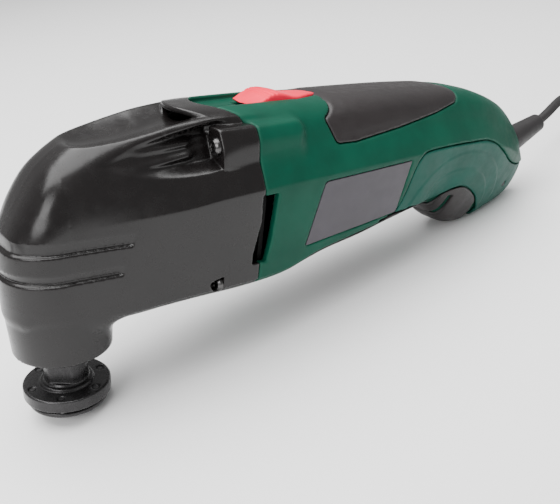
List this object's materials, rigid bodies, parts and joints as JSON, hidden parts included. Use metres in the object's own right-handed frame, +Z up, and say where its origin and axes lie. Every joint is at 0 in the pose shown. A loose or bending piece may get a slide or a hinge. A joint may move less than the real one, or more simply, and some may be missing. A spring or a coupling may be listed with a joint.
{
  "type": "oscillating multi tool",
  "caption": "Corded oscillating multi tool with right-angle head, pinned accessory flange, clamp bolt, slide switch and rubber grips, with its mains lead coiled.",
  "frame": {"origin": "centre of the tool's footprint on the surface it stands on, measured without the cord", "axes": "+X along the tool towards the cord, +Y to the tool's right side, +Z up; the tool stands on its clamp bolt and tail foot, so the spindle leans 9.3 degrees"},
  "size_m": [0.4666, 0.0938, 0.1098],
  "materials": {
    "head_black": "semi-gloss moulded",
    "body_green": "fine satin moulded",
    "grip_rubber": "soft-touch overmould",
    "plate_plastic": "satin printed film, blank",
    "switch_red": "satin moulded",
    "black_plastic": "moulded",
    "natural_plastic": "moulded",
    "cast_alloy": "as cast",
    "dark_steel": "blackened",
    "bright_steel": "ground",
    "screw_steel": "dark zinc plated",
    "lamination": "stacked sheet",
    "copper_wire": "enamelled",
    "carbon": "pressed graphite",
    "film_yellow": "dipped",
    "lead_blue": "soft insulation",
    "cord_rubber": "extruded sheath",
    "pin_metal": "nickel plated"
  },
  "bodies": {
    "root": {"head_shell": "head_black", "gear_housing": "cast_alloy", "head_screws": "screw_steel", "left_body_shell": "body_green", "right_body_shell": "body_green", "shell_screws": "screw_steel", "top_grip": "grip_rubber", "lower_grip": "grip_rubber", "left_rear_cover": "body_green", "right_rear_cover": "body_green", "left_name_plate": "plate_plastic", "right_name_plate": "plate_plastic", "air_baffle": "black_plastic", "stator_core": "lamination", "field_coils": "copper_wire", "rear_bearing_sleeve": "grip_rubber", "front_motor_bearing": "bright_steel", "rear_motor_bearing": "bright_steel", "brush_holders": "natural_plastic", "carbon_brushes": "carbon", "brush_springs": "bright_steel", "switch_module": "black_plastic", "interference_capacitor": "film_yellow", "inner_leads": "lead_blue", "cord_clamp": "black_plastic", "cord_clamp_screws": "screw_steel", "lower_spindle_bearing": "bright_steel", "upper_spindle_bearing": "bright_steel", "spindle_seal": "grip_rubber", "cord_boot": "cord_rubber", "power_cord": "cord_rubber", "cord_coil": "cord_rubber", "coil_tie": "black_plastic", "plug_body": "cord_rubber", "plug_pins": "pin_metal"},
    "switch": {"switch_slider": "switch_red", "switch_link": "natural_plastic"},
    "rotor": {"rotor_shaft": "bright_steel", "armature_core": "lamination", "armature_winding": "copper_wire", "commutator": "copper_wire", "cooling_fan": "natural_plastic", "counterweight": "dark_steel", "eccentric_bearing": "bright_steel"},
    "spindle": {"spindle": "bright_steel", "fork_arm": "dark_steel", "accessory_flange": "dark_steel", "drive_pins": "bright_steel"},
    "clamp_washer": {"clamp_washer": "dark_steel"},
    "clamp_bolt": {"clamp_bolt": "dark_steel"}
  },
  "joints": [
    {"name": "switch_slide", "type": "slide", "parent": "root", "child": "switch", "axis": [-0.9869, 0, 0.1616], "range_m": [0, 0.005]},
    {"name": "rotor_spin", "type": "hinge", "parent": "root", "child": "rotor", "pos_m": [-0.02028, 0, 0.06581], "axis": [0.9869, 0, -0.1616], "continuous": true},
    {"name": "spindle_swing", "type": "hinge", "parent": "root", "child": "spindle", "pos_m": [-0.13222, 0, 0.00105], "axis": [0.1616, 0, 0.9869], "range_deg": [-1.6, 1.6]},
    {"name": "clamp_washer_drop", "type": "slide", "parent": "spindle", "child": "clamp_washer", "axis": [-0.1616, 0, -0.9869], "range_m": [0, 0.01]},
    {"name": "clamp_bolt_turn", "type": "hinge", "parent": "clamp_washer", "child": "clamp_bolt", "pos_m": [-0.13222, 0, 0.00105], "axis": [-0.1616, 0, -0.9869], "range_deg": [0, 3600]}
  ],
  "couplings": [
    {"joint": "clamp_bolt_turn", "follows": "clamp_washer_drop", "rad_per_m": 6283.2}
  ]
}
